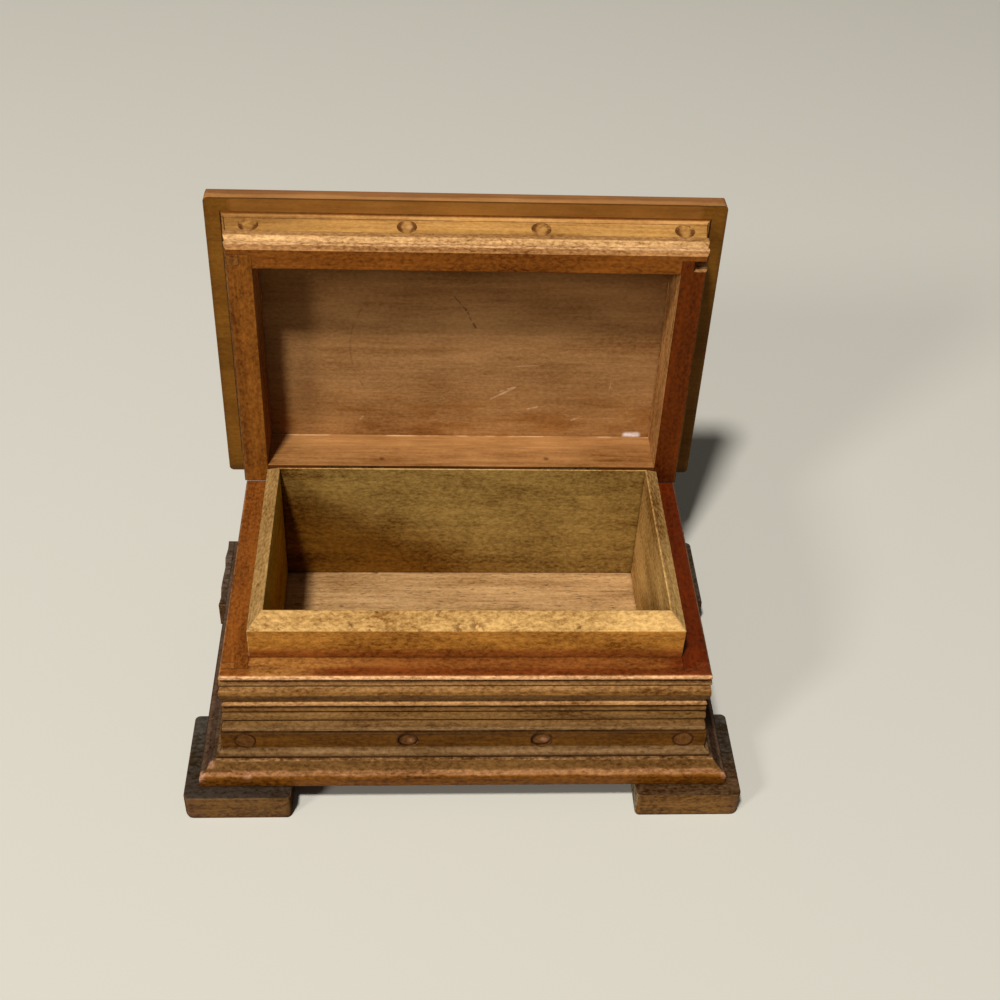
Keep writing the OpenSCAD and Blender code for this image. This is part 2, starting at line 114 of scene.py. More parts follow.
# %% The finish kit
class Finish:
    LOT_STEP = Vector((0.37, 0.71, 0.13))
    PATTERN_STEP = Vector((0, 0.11, 0.23))

    def __init__(self, piece, on_lid, lot):
        self.material = bpy.data.materials.new("finish_" + piece)
        self.material.use_nodes = True
        self.tree = self.material.node_tree
        self.shader = self.tree.nodes["Principled BSDF"]
        self.lot = self.LOT_STEP * lot
        self.here = self.node("ShaderNodeTexCoord").outputs["Object"]
        self.geometry = self.node("ShaderNodeNewGeometry")
        facing = self.node("ShaderNodeVectorTransform", self.geometry.outputs["True Normal"],
                           vector_type="NORMAL", convert_from="WORLD", convert_to="OBJECT").outputs[0]
        self.shut = self.swing(self.here, (0, hinge_y, hinge_z)) if on_lid else self.here
        self.x, self.y, self.z = self.split(self.shut)
        self.face_x, self.face_y, self.face_z = self.split(self.swing(facing) if on_lid else facing)
        self.off_middle = self.sum("ABSOLUTE", self.x)
        self.sideways = self.sum("ABSOLUTE", self.face_x)

    def feed(self, socket, value):
        if isinstance(value, bpy.types.NodeSocket):
            self.tree.links.new(value, socket)
        elif socket.type == "RGBA":
            socket.default_value = (*value, 1.0)
        else:
            socket.default_value = value

    def fill(self, made, values):
        for name, value in values.items():
            self.feed(made.inputs[name], value)
        return made

    def node(self, kind, *values, **settings):
        made = self.tree.nodes.new(kind)
        for key, value in settings.items():
            setattr(made, key, value)
        for socket, value in zip([s for s in made.inputs if s.enabled], values):
            self.feed(socket, value)
        return made

    def swing(self, vector, centre=(0, 0, 0)):
        return self.node("ShaderNodeVectorRotate", vector, centre, (1, 0, 0), OPEN_ANGLE).outputs[0]

    def split(self, vector):
        return self.node("ShaderNodeSeparateXYZ", vector).outputs[:3]

    # Numbers and vectors
    def sum(self, operation, a, b=0.0):
        return self.node("ShaderNodeMath", a, b, operation=operation).outputs[0]

    def vector(self, operation, a, b=(0, 0, 0)):
        made = self.node("ShaderNodeVectorMath", a, b, operation=operation)
        return made.outputs["Value" if operation in ("DOT_PRODUCT", "DISTANCE", "LENGTH") else "Vector"]

    def stretch(self, value, start, end, first=0.0, last=1.0):
        return self.node("ShaderNodeMapRange", value, start, end, first, last).outputs[0]

    def clamp(self, value):
        return self.node("ShaderNodeClamp", value, 0.0, 1.0).outputs[0]

    def ragged(self, value, reach, *noise):
        """The value, pushed to and fro by a noise, in all by up to the reach."""
        push = self.sum("SUBTRACT", self.noise(*noise), 0.5)
        return self.sum("ADD", value, self.part(push, reach))

    # Masks
    def part(self, mask, share):
        return self.sum("MULTIPLY", mask, share)

    def outside(self, mask):
        return self.sum("SUBTRACT", 1.0, mask)

    def both(self, *masks):
        total = masks[0]
        for mask in masks[1:]:
            total = self.sum("MULTIPLY", total, mask)
        return total

    def step(self, value, start, end, first=0.0, last=1.0):
        made = self.node("ShaderNodeMapRange", value, start, end, first, last)
        made.interpolation_type = "SMOOTHSTEP"
        return made.outputs[0]

    def band(self, value, start, end, soft):
        rise = self.step(value, start - soft, start + soft)
        fall = self.step(value, end - soft, end + soft, 1.0, 0.0)
        return self.both(rise, fall)

    def spot(self, centre, radius, soft):
        away = self.vector("DISTANCE", self.here, tuple(centre))
        return self.step(away, radius - soft, radius + soft, 1.0, 0.0)

    def stroke(self, start, end, width):
        """A mask round the straight line between two points of the open box."""
        start, end = Vector(start), Vector(end)
        run = end - start
        gone = self.vector("SUBTRACT", self.here, tuple(start))
        share = self.sum("DIVIDE", self.vector("DOT_PRODUCT", gone, tuple(run)), run.length_squared)
        nearest = self.node("ShaderNodeVectorMath", operation="SCALE")
        self.fill(nearest, {"Vector": tuple(run), "Scale": self.clamp(share)})
        away = self.vector("DISTANCE", gone, nearest.outputs[0])
        return self.step(away, width * 0.1, width * 1.1, 1.0, 0.0)

    # Colours
    def blend(self, share, a, b, kind="MIX"):
        # The mix node has sockets for numbers, vectors and colours, of which only one set is enabled
        made = self.node("ShaderNodeMix", share, a, b, data_type="RGBA", blend_type=kind)
        return next(socket for socket in made.outputs if socket.enabled)

    def plain(self, colour):
        return self.blend(1.0, colour, colour)

    def times(self, colour, tint):
        return self.blend(1.0, colour, tint, "MULTIPLY")

    def layers(self, value, first, changes, soft=0.3):
        """Colours one after the other as the value, a distance, grows past each limit in mm."""
        colour = first
        for limit, following in changes:
            share = self.step(value, (limit - soft) * MM, (limit + soft) * MM)
            colour = self.blend(share, colour, following)
        return colour

    def noise(self, per_m, detail=3.0, rough=0.5, pattern=0.0):
        """A cloudy pattern, with so many clouds to a metre, in all directions or in each."""
        scale = per_m if isinstance(per_m, tuple) else (per_m,) * 3
        moved = self.vector("ADD", self.shut, tuple(self.lot + self.PATTERN_STEP * pattern))
        made = self.node("ShaderNodeTexNoise", noise_dimensions="3D")
        self.fill(made, {"Vector": self.vector("MULTIPLY", moved, scale), "Scale": 1.0,
                         "Detail": detail, "Roughness": rough})
        return made.outputs[0]


def dress(piece, material):
    mesh = nodes[piece].data
    mesh.materials.clear()
    mesh.materials.append(material)


print("finish kit ready, with", len([name for name in vars(Finish) if name[0] != "_"]), "tools")

# %% [markdown]
# ## The grain of old wood
#
# The box is made of a pale, close-grained wood, stained brown to red and rubbed with a golden
# wash that has worn through. A picture of wood wrapped round the boards would smear on the
# mouldings. Here the grain is built in space instead, so it runs through each board from face
# to end: long streaks, wide growth rings and slow clouds, short dark flecks, and a fine mottle
# where the wash has worn. Each board gets its own lot of grain, so that no two repeat.

# %% Grain
GRAIN = {"x": (1, 0, 0), "y": (0, 1, 0), "z": (0, 0, 1)}
DARKEST_GRAIN = (0.36, 0.24, 0.1)
PALEST_GRAIN = (1.64, 1.76, 1.9)
FLECK = (0.05, 0.02, 0.006)


def per_metre(grain, along, across):
    return tuple(along if axis else across for axis in GRAIN[grain])


def grain_patterns(f, grain):
    """Streaks, rings, clouds and the worn mottle, each with a mean of a half."""
    noises = ((per_metre(grain, 45, 780), 5, 0.6, 0), (per_metre(grain, 7, 130), 2, 0.5, 1),
              (per_metre(grain, 34, 75), 3, 0.55, 2), (per_metre(grain, 700, 1150), 5, 0.68, 3))
    return [f.stretch(f.noise(*noise), 0.3, 0.7) for noise in noises]


def grained(f, colour, grain, patterns, shares, fleck):
    """The colour, made darker and paler by its share of each pattern, with short flecks."""
    pale = 0.5
    for pattern, share in zip(patterns, shares):
        pale = f.sum("ADD", pale, f.part(f.sum("SUBTRACT", pattern, 0.5), share))
    colour = f.times(colour, f.blend(f.clamp(pale), DARKEST_GRAIN, PALEST_GRAIN))
    flecks = f.step(f.noise(per_metre(grain, 300, 2300), 2, 0.5, 4), 0.6, 0.68)
    return f.blend(f.part(flecks, fleck), colour, FLECK)


print("grains along:", ", ".join(GRAIN))

# %% [markdown]
# ## Wear, dirt with painted shade, and wax
#
# Hands have rubbed the sharp edges of the boards, which a joiner calls arrises, and dirt has
# stayed in the hollows, where the colour is also darkened as painted shade. Both could be
# painted by hand. Two nodes find them instead: ambient occlusion is low in a crevice, and the
# bevel node turns the normal near an edge, so the wear follows every moulding and every board.
# Where a board meets another on a rim, the edge is a dark line and not a rubbed one. `calm` is
# a mask for faces so near another board that these two nodes would see only that board, and
# there they are switched off.

# %% Wood
FEELERS = 6
JOINT_LINE = (0.014, 0.004, 0.001)
CREVICE_DIRT_AND_SHADE = (0.26, 0.19, 0.13)
WASH_SHEEN = (1.0, 0.6, 0.2)


def wood(piece, tone, grain="x", lot=1.0, on_lid=False, zones=None, streak=0.4, cloud=0.35,
         mottle=0.5, fleck=0.2, rings=0.25, arris=(0.42, 0.22, 0.09), rub=0.5, arris_r=0.35,
         joint_face=None, calm=None, dirt_and_shade=0.7, crevice_reach=1.6, rough=0.5, raised=0.1):
    f = Finish(piece, on_lid, lot)
    lively = f.outside(calm(f)) if calm else 1.0
    patterns = grain_patterns(f, grain)
    streaks, _, clouds, worn = patterns
    shares = (streak, rings, cloud, f.stretch(lively, 0, 1, 0.4 * mottle, mottle))
    colour = zones(f, tone) if zones else f.plain(tone)
    colour = grained(f, colour, grain, patterns, shares, fleck)

    # Rubbed arrises, dark joint lines, and dirt with painted shade in the crevices
    occluded = f.node("ShaderNodeAmbientOcclusion", (1, 1, 1), crevice_reach * MM, samples=FEELERS)
    crevice_shade_and_dirt = f.both(f.step(occluded.outputs["AO"], 0.35, 0.85, 1.0, 0.0), lively)
    eased = f.node("ShaderNodeBevel", f.part(lively, arris_r * MM), samples=FEELERS).outputs[0]
    turned = f.vector("DOT_PRODUCT", eased, f.geometry.outputs["Normal"])
    patchy = f.step(f.noise(420, 3, 0.6, 5), 0.36, 0.6)
    on_side = f.step(f.sideways, 0.35, 0.7)
    rubbed = f.both(f.step(turned, 0.97, 0.75), f.step(crevice_shade_and_dirt, 0.25, 0.05), patchy,
                    f.stretch(on_side, 0, 1, 1.0, 0.3))
    if joint_face:
        at_joint = joint_face(f)
        rubbed = f.both(rubbed, f.outside(at_joint))
        joint = f.both(f.step(turned, 0.99, 0.85), at_joint, f.stretch(patchy, 0, 1, 0.45, 1.0))
        colour = f.blend(f.part(joint, 0.9), colour, JOINT_LINE)
    colour = f.blend(f.part(rubbed, rub), colour, arris)
    # Darker colour where ambient occlusion is low: dirt, and painted shade in every crevice
    colour = f.blend(f.part(crevice_shade_and_dirt, dirt_and_shade), colour, f.times(colour, CREVICE_DIRT_AND_SHADE))

    # Sheen of old wax over a golden wash, duller in crevices and on the dusty ends of the box
    dull = f.sum("ADD", f.stretch(worn, 0, 1, rough - 0.1, rough + 0.12), f.part(crevice_shade_and_dirt, 0.2))
    height = f.sum("ADD", f.part(worn, 0.6), f.part(clouds, 2.2))
    height = f.sum("ADD", f.part(streaks, 0.5), height)
    bump = f.fill(f.node("ShaderNodeBump"), {"Strength": 0.6, "Distance": raised * MM,
                                             "Height": height, "Normal": eased})
    f.fill(f.shader, {"Base Color": colour, "Roughness": dull, "Normal": bump.outputs[0],
                      "Specular IOR Level": f.stretch(on_side, 0, 1, 0.2, 0.0),
                      "Specular Tint": WASH_SHEEN})
    dress(piece, f.material)


print("wood ready, with", FEELERS, "rays to feel for edges and crevices")

# %% [markdown]
# ## Feet
#
# The four feet are plain plates, stained nearly black on top, and browner on the front where
# hands have worn them. Each could have one colour of its own, but a foot is dark and worn in
# different places, so its zones are told by the way the face is turned.

# %% Feet
BLACKENED = (0.03, 0.024, 0.018)
BACK_FOOT = (0.1, 0.045, 0.015)
FEET = (("front_left", (0.09, 0.037, 0.0075), (0.05, 0.026, 0.012), (0.02, 0.0135, 0.0095)),
        ("front_right", (0.115, 0.047, 0.0085), (0.16, 0.12, 0.07), (0.053, 0.0255, 0.0105)),
        ("back_left", BACK_FOOT, (0.14, 0.075, 0.035), (0.055, 0.035, 0.022)),
        ("back_right", BACK_FOOT, (0.03, 0.02, 0.013), (0.03, 0.022, 0.015)))


def foot_zones(end, worn_top, at_front):
    def zones(f, tone):
        top = worn_top
        if at_front:
            toward_front = f.step(f.y, case_front_y + 6 * MM, case_front_y - 6 * MM)
            top = f.blend(toward_front, BLACKENED, worn_top)
        far_out = f.step(f.off_middle, 70 * MM, 77 * MM)
        colour = f.blend(f.part(far_out, 0.6), tone, (0.06, 0.022, 0.008))
        colour = f.blend(f.step(f.face_z, 0.7, 0.8), colour, top)
        return f.blend(f.step(f.sideways, 0.7, 0.8), colour, end)
    return zones


for lot, (corner, front, end, top) in enumerate(FEET):
    wood("foot_" + corner, front, "x", 1.3 + lot, zones=foot_zones(end, top, "front" in corner),
         arris=(0.3, 0.15, 0.06), rub=0.3, arris_r=0.9, mottle=1.4, cloud=0.7, streak=0.7, fleck=0.35)
print("feet finished:", len(FEET))

# %% [markdown]
# ## Plinth
#
# The plinth board has a brown slope and a redder nose below it, with a pinkish painted
# highlight along the top of the nose, and its narrow ledge round the case is worn to a bright,
# broken line. As the board is the same all along, its tone changes with height only, but for
# its darker sides and a few pale patches on its corners, which are painted highlights.

# %% Plinth
# Each painted highlight patch: x, y and depth below the top in mm, its radius in mm, and its strength
PLINTH_GLINTS = ((-70.4, -50.9, 0.3, 1.1, 0.4), (-73.6, -53.6, 2.6, 1.9, 0.45),
                  (-60, -53, 2.6, 1.2, 0.3), (73.6, -53.6, 2.7, 1.6, 0.3))
plinth_left_front, plinth_right_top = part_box("plinth_board")
plinth_top = plinth_right_top[2]


def plinth_zones(f, tone):
    drop = f.sum("SUBTRACT", plinth_top, f.z)
    # The pinkish band from 1.9 to 2.7 mm down is a painted highlight along the top of the nose
    colour = f.layers(f.ragged(drop, 0.9 * MM, 120, 3, 0.6, 6), (0.083, 0.035, 0.0085),
                      ((1.9, (0.21, 0.09, 0.033)), (2.7, tone)))
    ledge = f.both(f.step(f.face_z, 0.95, 0.99), f.step(drop, 0.2 * MM, 0.1 * MM))
    worn = f.step(f.noise(450, 4, 0.75, 7), 0.36, 0.62)
    colour = f.blend(ledge, colour, f.blend(worn, (0.07, 0.029, 0.007), (0.23, 0.115, 0.043)))
    # A place is on a side where it is nearer to that end of the board than to its front
    from_end = f.sum("SUBTRACT", plinth_right_top[0], f.off_middle)
    from_front = f.sum("SUBTRACT", f.y, plinth_left_front[1])
    side = f.step(f.sum("SUBTRACT", from_front, from_end), -0.2 * MM, 0.8 * MM)
    colour = f.blend(f.part(side, 0.88), colour, (0.034, 0.02, 0.013))
    # Pale patches on the corners: painted highlights
    for x, y, drop_at, size, strength in PLINTH_GLINTS:
        corner_glint = f.spot((x * MM, y * MM, plinth_top - drop_at * MM), size * MM, 0.8 * MM)
        colour = f.blend(f.part(corner_glint, strength), colour, (0.55, 0.27, 0.16))
    return colour


wood("plinth_board", (0.11, 0.034, 0.0028), "x", 6.1, zones=plinth_zones, arris=(0.5, 0.24, 0.09),
     rub=0.12, mottle=1.05, cloud=0.45)
print("plinth finished, top at (mm):", round(plinth_top / MM, 2))

# %% [markdown]
# ## Where the plugs are
#
# Round plugs pin the corner joints. The wash runs over them, and only a dark, broken ring
# gives each away, partly on the plug and partly on the board round it. The rings need the
# middle of every plug. They could be typed in, but the plugs of a row are one mesh, so their
# middles are found by splitting its vertices into groups along the row.

# %% Middles and rings of the plugs
PLUG_R = 2.8 * MM
LEAST_GAP = 5 * MM
END_DEPTH = 1.5 * MM
PLUG_LINE = (0.026, 0.005, 0.001)


def plug_centres(piece, outwards):
    """The middle of every plug's outer end, from left to right."""
    outwards = Vector(outwards)
    places = sorted((v.co.copy() for v in nodes[piece].data.vertices), key=lambda p: p.x)
    groups = [[places[0]]]
    for place in places[1:]:
        if place.x - groups[-1][-1].x > LEAST_GAP:
            groups.append([])
        groups[-1].append(place)
    centres = []
    for group in groups:
        reach = max(place.dot(outwards) for place in group)
        end = [place for place in group if place.dot(outwards) > reach - END_DEPTH]
        centres.append(Vector([(min(axis) + max(axis)) / 2 for axis in zip(*end)]))
    return centres


def plug_ring(f, middles, inner, outer):
    """A broken ring round each plug of the case, from inner to outer past the plug's edge."""
    ring = 0.0
    for middle in middles:
        gone = f.vector("MULTIPLY", f.vector("SUBTRACT", f.here, tuple(middle)), (1, 0, 1))
        away = f.ragged(f.vector("LENGTH", gone), 1.4 * MM, 330, 2, 0.5, 14)
        ring = f.sum("MAXIMUM", ring, f.band(away, PLUG_R + inner, PLUG_R + outer, 0.25 * MM))
    return f.both(ring, f.step(f.noise(190, 2, 0.5, 9), 0.3, 0.42))


case_plugs = plug_centres("case_plugs", (0, -1, 0))
lid_plugs = plug_centres("lid_plugs", (0, 0, 1))
print("plugs in the case at (mm):", [round(p.x / MM, 1) for p in case_plugs])
print("plugs in the lid at (mm):", [round(p.x / MM, 1) for p in lid_plugs])

# %% [markdown]
# ## The moulded case
#
# The sides of the case carry a bead, bands and a plain frieze, all rubbed back to gold on
# their crowns, which also carry a painted highlight, with painted shade in the grooves. The
# colours follow the distance below the rim, so one set of bands fits the front board, the side
# boards and the strips in the corners, and faces turned sideways are darkened as painted shade.
# The rim of the front board is golden orange, with a red stripe where the stain pooled, brown
# at its left end and deep red at its right end, as the side boards are there.

# %% Case boards
BAND = (0.205, 0.088, 0.019)
GOLD = (0.5, 0.26, 0.1)
GILT = (0.56, 0.29, 0.13)
SHADE = (0.1, 0.042, 0.01)
BROWN_RIM = (0.149, 0.041, 0.005)
# The SHADE bands are painted shade in the grooves and under the wide band; the pale crowns are worn
# gilt with a painted highlight
# Each band: where it starts below the rim, in mm, and its colour
CASE_BANDS = ((2.1, SHADE), (2.6, (0.26, 0.125, 0.042)), (3.7, SHADE), (4.1, (0.26, 0.125, 0.04)),
              (5.8, BAND), (7.2, SHADE), (10.6, (0.32, 0.155, 0.055)), (12.5, SHADE),
              (13.1, (0.16, 0.072, 0.019)), (14.3, SHADE), (14.9, (0.15, 0.07, 0.019)),
              (17.3, SHADE), (18.3, (0.125, 0.058, 0.017)), (20.2, (0.2, 0.105, 0.04)),
              (21.7, (0.055, 0.02, 0.004)), (22.8, (0.084, 0.029, 0.0028)),
              (27.8, (0.12, 0.062, 0.024)), (29.9, (0.05, 0.02, 0.006)))


def rim_of_case(f):
    return f.step(f.face_z, 0.8, 0.95)


def case_zones(rim, plugs=()):
    """The bands of a case board, with the rings of its plugs, and its rim, made by rim(f)."""
    def zones(f, tone):
        drop = f.sum("SUBTRACT", rim_z, f.z)
        colour = f.layers(drop, GILT, CASE_BANDS)
        if plugs:
            ring = plug_ring(f, plugs, -0.2 * MM, 0.35 * MM)
            colour = f.blend(f.part(ring, 0.85), colour, PLUG_LINE)
        # Faces turned sideways are darkened: painted shade
        shaded_side = f.step(f.sideways, 0.5, 0.8)
        colour = f.blend(f.part(shaded_side, 0.8), colour, (0.045, 0.026, 0.016))
        on_rim = f.both(f.step(f.face_z, 0.6, 0.9), f.step(drop, 0.9 * MM, 0.5 * MM))
        return f.blend(on_rim, colour, rim(f))
    return zones


def even_rim(colour):
    return lambda f: colour


def front_rim(f):
    """From golden orange at the left to red, with the pooled stripe at the front."""
    orange = f.blend(f.step(f.x, -15 * MM, -50 * MM), (0.138, 0.04, 0.007), (0.22, 0.085, 0.017))
    worn_y = f.ragged(f.y, 4 * MM, 45, 2, 0.5, 7)
    pooled = f.step(worn_y, case_front_y + 3.6 * MM, case_front_y + 1.8 * MM)
    pooled = f.both(pooled, f.step(f.x, -50 * MM, -35 * MM))
    colour = f.blend(pooled, orange, (0.1, 0.02, 0.0029))
    colour = f.blend(f.step(f.x, -57 * MM, -59 * MM), colour, BROWN_RIM)
    return f.blend(f.step(f.x, 52 * MM, 58 * MM), colour, (0.105, 0.018, 0.003))


wood("case_front_board", BAND, "x", 7.7, zones=case_zones(front_rim, case_plugs), arris=GOLD,
     rub=0.25, crevice_reach=1.1, joint_face=rim_of_case, mottle=0.9, cloud=0.45, streak=0.5)
for lot, (board, grain, rim) in enumerate((("left_board", "y", BROWN_RIM),
                                           ("right_board", "y", (0.074, 0.0083, 0.0006)),
                                           ("corner_strip_left", "z", (0.18, 0.055, 0.008)),
                                           ("corner_strip_right", "z", (0.11, 0.018, 0.003)),
                                           ("back_board", "x", (0.12, 0.03, 0.007)))):
    wood("case_" + board, BAND, grain, 8.3 + 1.1 * lot, arris=GOLD, rub=0.25, crevice_reach=1.1,
         zones=case_zones(even_rim(rim)), joint_face=rim_of_case, mottle=0.85)
print("case boards finished, with", len(CASE_BANDS) + 1, "bands below the rim")

# %% [markdown]
# ## Plugs in the case
#
# The ends of the plugs are stained like the frieze round them. The two in the middle have a
# pale heart at the lower right, a painted highlight, and a dark crescent at the upper left, a
# painted shadow, as of light from the upper left in a shallow hollow. A crescent is a mask
# that grows with the distance to one side of the plug's middle.

# %% Plugs of the case
def crescent(f, across, lean):
    """A blotchy mask near the edge of a plug, where lean, the distance to one side, is large."""
    away = f.vector("LENGTH", across)
    blotchy = f.step(f.noise(380, 3, 0.6, 10), 0.3, 0.5)
    return f.both(f.step(away, MM, PLUG_R - 0.8 * MM), f.step(lean, 0.3 * MM, 1.8 * MM), blotchy,
                  f.step(away, PLUG_R + MM, PLUG_R + 0.5 * MM))


def pale_heart(f, colour, middle, heart):
    low_right = middle + Vector((0.8, 0, -0.6)) * MM
    return f.blend(f.part(f.spot(low_right, 0.9 * MM, 0.7 * MM), 0.7), colour, heart)


def case_plug_zones(f, tone):
    colour = f.plain(tone)
    for middle in case_plugs[1:3]:
        # A pale spot at the lower right: a painted highlight
        colour = pale_heart(f, colour, middle, (0.32, 0.15, 0.075))
        across = f.vector("MULTIPLY", f.vector("SUBTRACT", f.here, tuple(middle)), (1, 0, 1))
        # A dark crescent at the upper left: a painted shadow
        to_upper_left = f.vector("DOT_PRODUCT", across, (-0.7, 0, 0.7))
        dark = crescent(f, across, to_upper_left)
        colour = f.blend(f.part(dark, 0.9), colour, (0.026, 0.006, 0.002))
    ring = plug_ring(f, case_plugs, -0.35 * MM, 0.3 * MM)
    return f.blend(f.part(ring, 0.85), colour, PLUG_LINE)


wood("case_plugs", (0.105, 0.039, 0.009), "y", 13.1, zones=case_plug_zones, dirt_and_shade=0.3,
     crevice_reach=0.8, rub=0.0)
print("plugs finished in the case:", len(case_plugs))

# %% [markdown]
# ## Floor and liner
#
# The floor is bare beech, pinkish, with its short dark flecks. The liner boards are gilded
# brown: greenish gold and mottled inside, redder towards the rim outside, and bright gold on
# the bevel, which hands have rubbed most. The bevel is told from the walls by the way its
# face is turned, which needs no measure at all. Low down inside, most of all at the left, the
# walls are darkened by a painted shadow that slants like the one the left wall casts, and a
# few stains lie on the bevel of the front.

# %% Floor board and liner boards
wood("floor_board", (0.37, 0.205, 0.08), "x", 14.5, streak=0.45, cloud=0.25, mottle=0.35, fleck=0.7,
     rings=0.2, dirt_and_shade=0.5, rough=0.62)

BEVEL_GILT = (0.4, 0.222, 0.07)
DULL_GILT = (0.25, 0.135, 0.042)
# Each stain: x, y and radius in mm
BEVEL_STAINS = ((-2.6, -39.0, 1.7), (1.6, -38.0, 1.5), (3.1, -39.2, 1.3), (29.5, -38.4, 0.8),
                (-31, -38.6, 0.9))
LINER = (("front", "x", (0.28, 0.13, 0.03), (0.315, 0.122, 0.018)),
         ("back", "x", (0.22, 0.122, 0.028), (0.25, 0.11, 0.028)),
         ("left", "y", (0.44, 0.32, 0.05), (0.24, 0.08, 0.014)),
         ("right", "y", (0.4, 0.22, 0.062), (0.16, 0.04, 0.008)))
bevel_z = high("liner_front_board")[2] - 3 * MM


def liner_zones(side, outer):
    def zones(f, inner):
        inward = f.part(f.face_y if side in ("front", "back") else f.face_x,
                        1 if side in ("front", "left") else -1)
        above = f.sum("SUBTRACT", f.z, rim_z)
        outside = f.blend(f.step(above, 4.5 * MM, 1.5 * MM), outer, (0.2, 0.055, 0.009))
        # Painted shadow inside the liner, darker low down and towards the left, along a slanting line
        deep = f.sum("ADD", f.part(f.z, -0.8), f.part(f.x, -0.42))
        slanting_shadow = f.step(f.ragged(deep, 10 * MM, 60, 4, 0.6, 8), -28 * MM, -10 * MM)
        within = f.blend(slanting_shadow, inner, f.times(inner, (0.72, 0.5, 0.22)))
        colour = f.blend(f.step(inward, -0.3, 0.3), outside, within)
        dark_spots = f.step(f.noise(per_metre("x", 240, 380), 3, 0.65, 9), 0.62, 0.7)
        bevel = DULL_GILT if side == "left" else BEVEL_GILT
        bevel = f.blend(f.part(dark_spots, 0.7), bevel, (0.12, 0.045, 0.01))
        for x, y, size in BEVEL_STAINS if side == "front" else ():
            stain = f.both(f.spot((x * MM, y * MM, bevel_z), size * MM, 1.2 * MM),
                           f.step(f.noise(700, 3, 0.6, 3), 0.38, 0.55))
            bevel = f.blend(f.part(stain, 0.8), bevel, (0.09, 0.03, 0.006))
        return f.blend(f.step(f.face_z, 0.4, 0.6), colour, bevel)
    return zones


for lot, (side, grain, inner, outer) in enumerate(LINER):
    wood("liner_" + side + "_board", inner, grain, 15.3 + lot, zones=liner_zones(side, outer),
         mottle=0.75, cloud=0.5, streak=0.22, fleck=0.15, arris=(0.65, 0.4, 0.15), rub=0.9,
         arris_r=0.3, rough=0.45)
print("liner finished, middle of its bevel at (mm):", round(bevel_z / MM, 2))

# %% [markdown]
# ## The frame of the lid
#
# Seen from below, the frame of the lid has a golden frieze and two rubbed bands, and dark red
# brown where the rims meet. As the colours belong to the places where case and lid meet, they
# are laid out by distance from the rim of the shut lid. The frieze is darker towards the
# left, faces turned sideways are darkened as painted shade, and the inner faces of the boards
# have a bare brown of their own. Where they meet the top board runs a bright, broken line, a
# painted highlight along the arris, and the back board has two small dark dents.

# %% Lid frame
LID_GAP = 0.3 * MM
LID_RIM_EDGE = (0.27, 0.12, 0.038)
LID_BANDS = ((1.7, (0.5, 0.27, 0.115)), (3.1, (0.16, 0.062, 0.014)), (3.6, (0.48, 0.26, 0.1)),
             (6, (0.255, 0.118, 0.037)), (8.2, (0.24, 0.105, 0.026)), (8.9, (0.33, 0.158, 0.038)),
             (11, (0.36, 0.175, 0.045)), (14.3, (0.37, 0.18, 0.052)))
HIDDEN_INSIDE = (0.2, 0.08, 0.02)
LID_FRAME = (("front_board", "x", (0.14, 0.038, 0.004), HIDDEN_INSIDE),
             ("back_board", "x", (0.1, 0.03, 0.006), (0.3, 0.134, 0.041)),
             ("left_board", "y", (0.15, 0.045, 0.005), (0.25, 0.1, 0.028)),
             ("right_board", "y", (0.077, 0.0123, 0.0007), (0.33, 0.15, 0.045)),
             ("corner_strip_left", "z", (0.16, 0.055, 0.01), HIDDEN_INSIDE),
             ("corner_strip_right", "z", (0.1, 0.03, 0.006), HIDDEN_INSIDE))
BACK_DENTS = ((-0.0247, 0.037, 0.0515), (0.0259, 0.0376, 0.0515))
lid_rim_z = rim_z + LID_GAP


def rim_of_lid(f):
    return f.step(f.face_z, -0.8, -0.95)


def frieze_of_lid(f):
    high_up = f.step(f.z, lid_rim_z + 8.6 * MM, lid_rim_z + 9.4 * MM)
    return f.both(high_up, f.step(f.face_y, 0.1, -0.2))


def within_lid(f, front, soft):
    """The space inside the frame, from so far behind the front of the case."""
    between_sides = f.step(f.off_middle, case_half_w - 6 * MM, case_half_w - 7 * MM)
    return f.both(between_sides, f.band(f.y, case_front_y + front, hinge_y - 5 * MM, soft))


def lid_zones(rim, inner, dents):
    def zones(f, tone):
        rise = f.sum("SUBTRACT", f.z, lid_rim_z)
        colour = f.layers(rise, LID_RIM_EDGE, LID_BANDS)
        toward_left = f.both(frieze_of_lid(f), f.step(f.x, -35 * MM, -58 * MM))
        colour = f.blend(f.part(toward_left, 0.6), colour, (0.16, 0.066, 0.014))
        # Faces turned sideways are darkened: painted shade
        shaded_side = f.step(f.sideways, 0.5, 0.8)
        colour = f.blend(f.part(shaded_side, 0.75), colour, (0.09, 0.035, 0.01))
        inside = within_lid(f, 4.5 * MM, 0.3 * MM)
        colour = f.blend(inside, colour, inner)
        # A bright, broken line along the arris where the frame meets the top board: a painted highlight
        arris = f.both(inside, f.band(rise, 15.1 * MM, 15.9 * MM, 0.2 * MM),
                       f.step(f.noise(90, 3, 0.6, 6), 0.42, 0.6))
        colour = f.blend(f.part(arris, 0.6), colour, (0.6, 0.36, 0.17))
        for dent in dents:
            colour = f.blend(f.part(f.spot(dent, 0.8 * MM, 0.5 * MM), 0.8), colour, (0.1, 0.035, 0.01))
        return f.blend(rim_of_lid(f), colour, rim)
    return zones


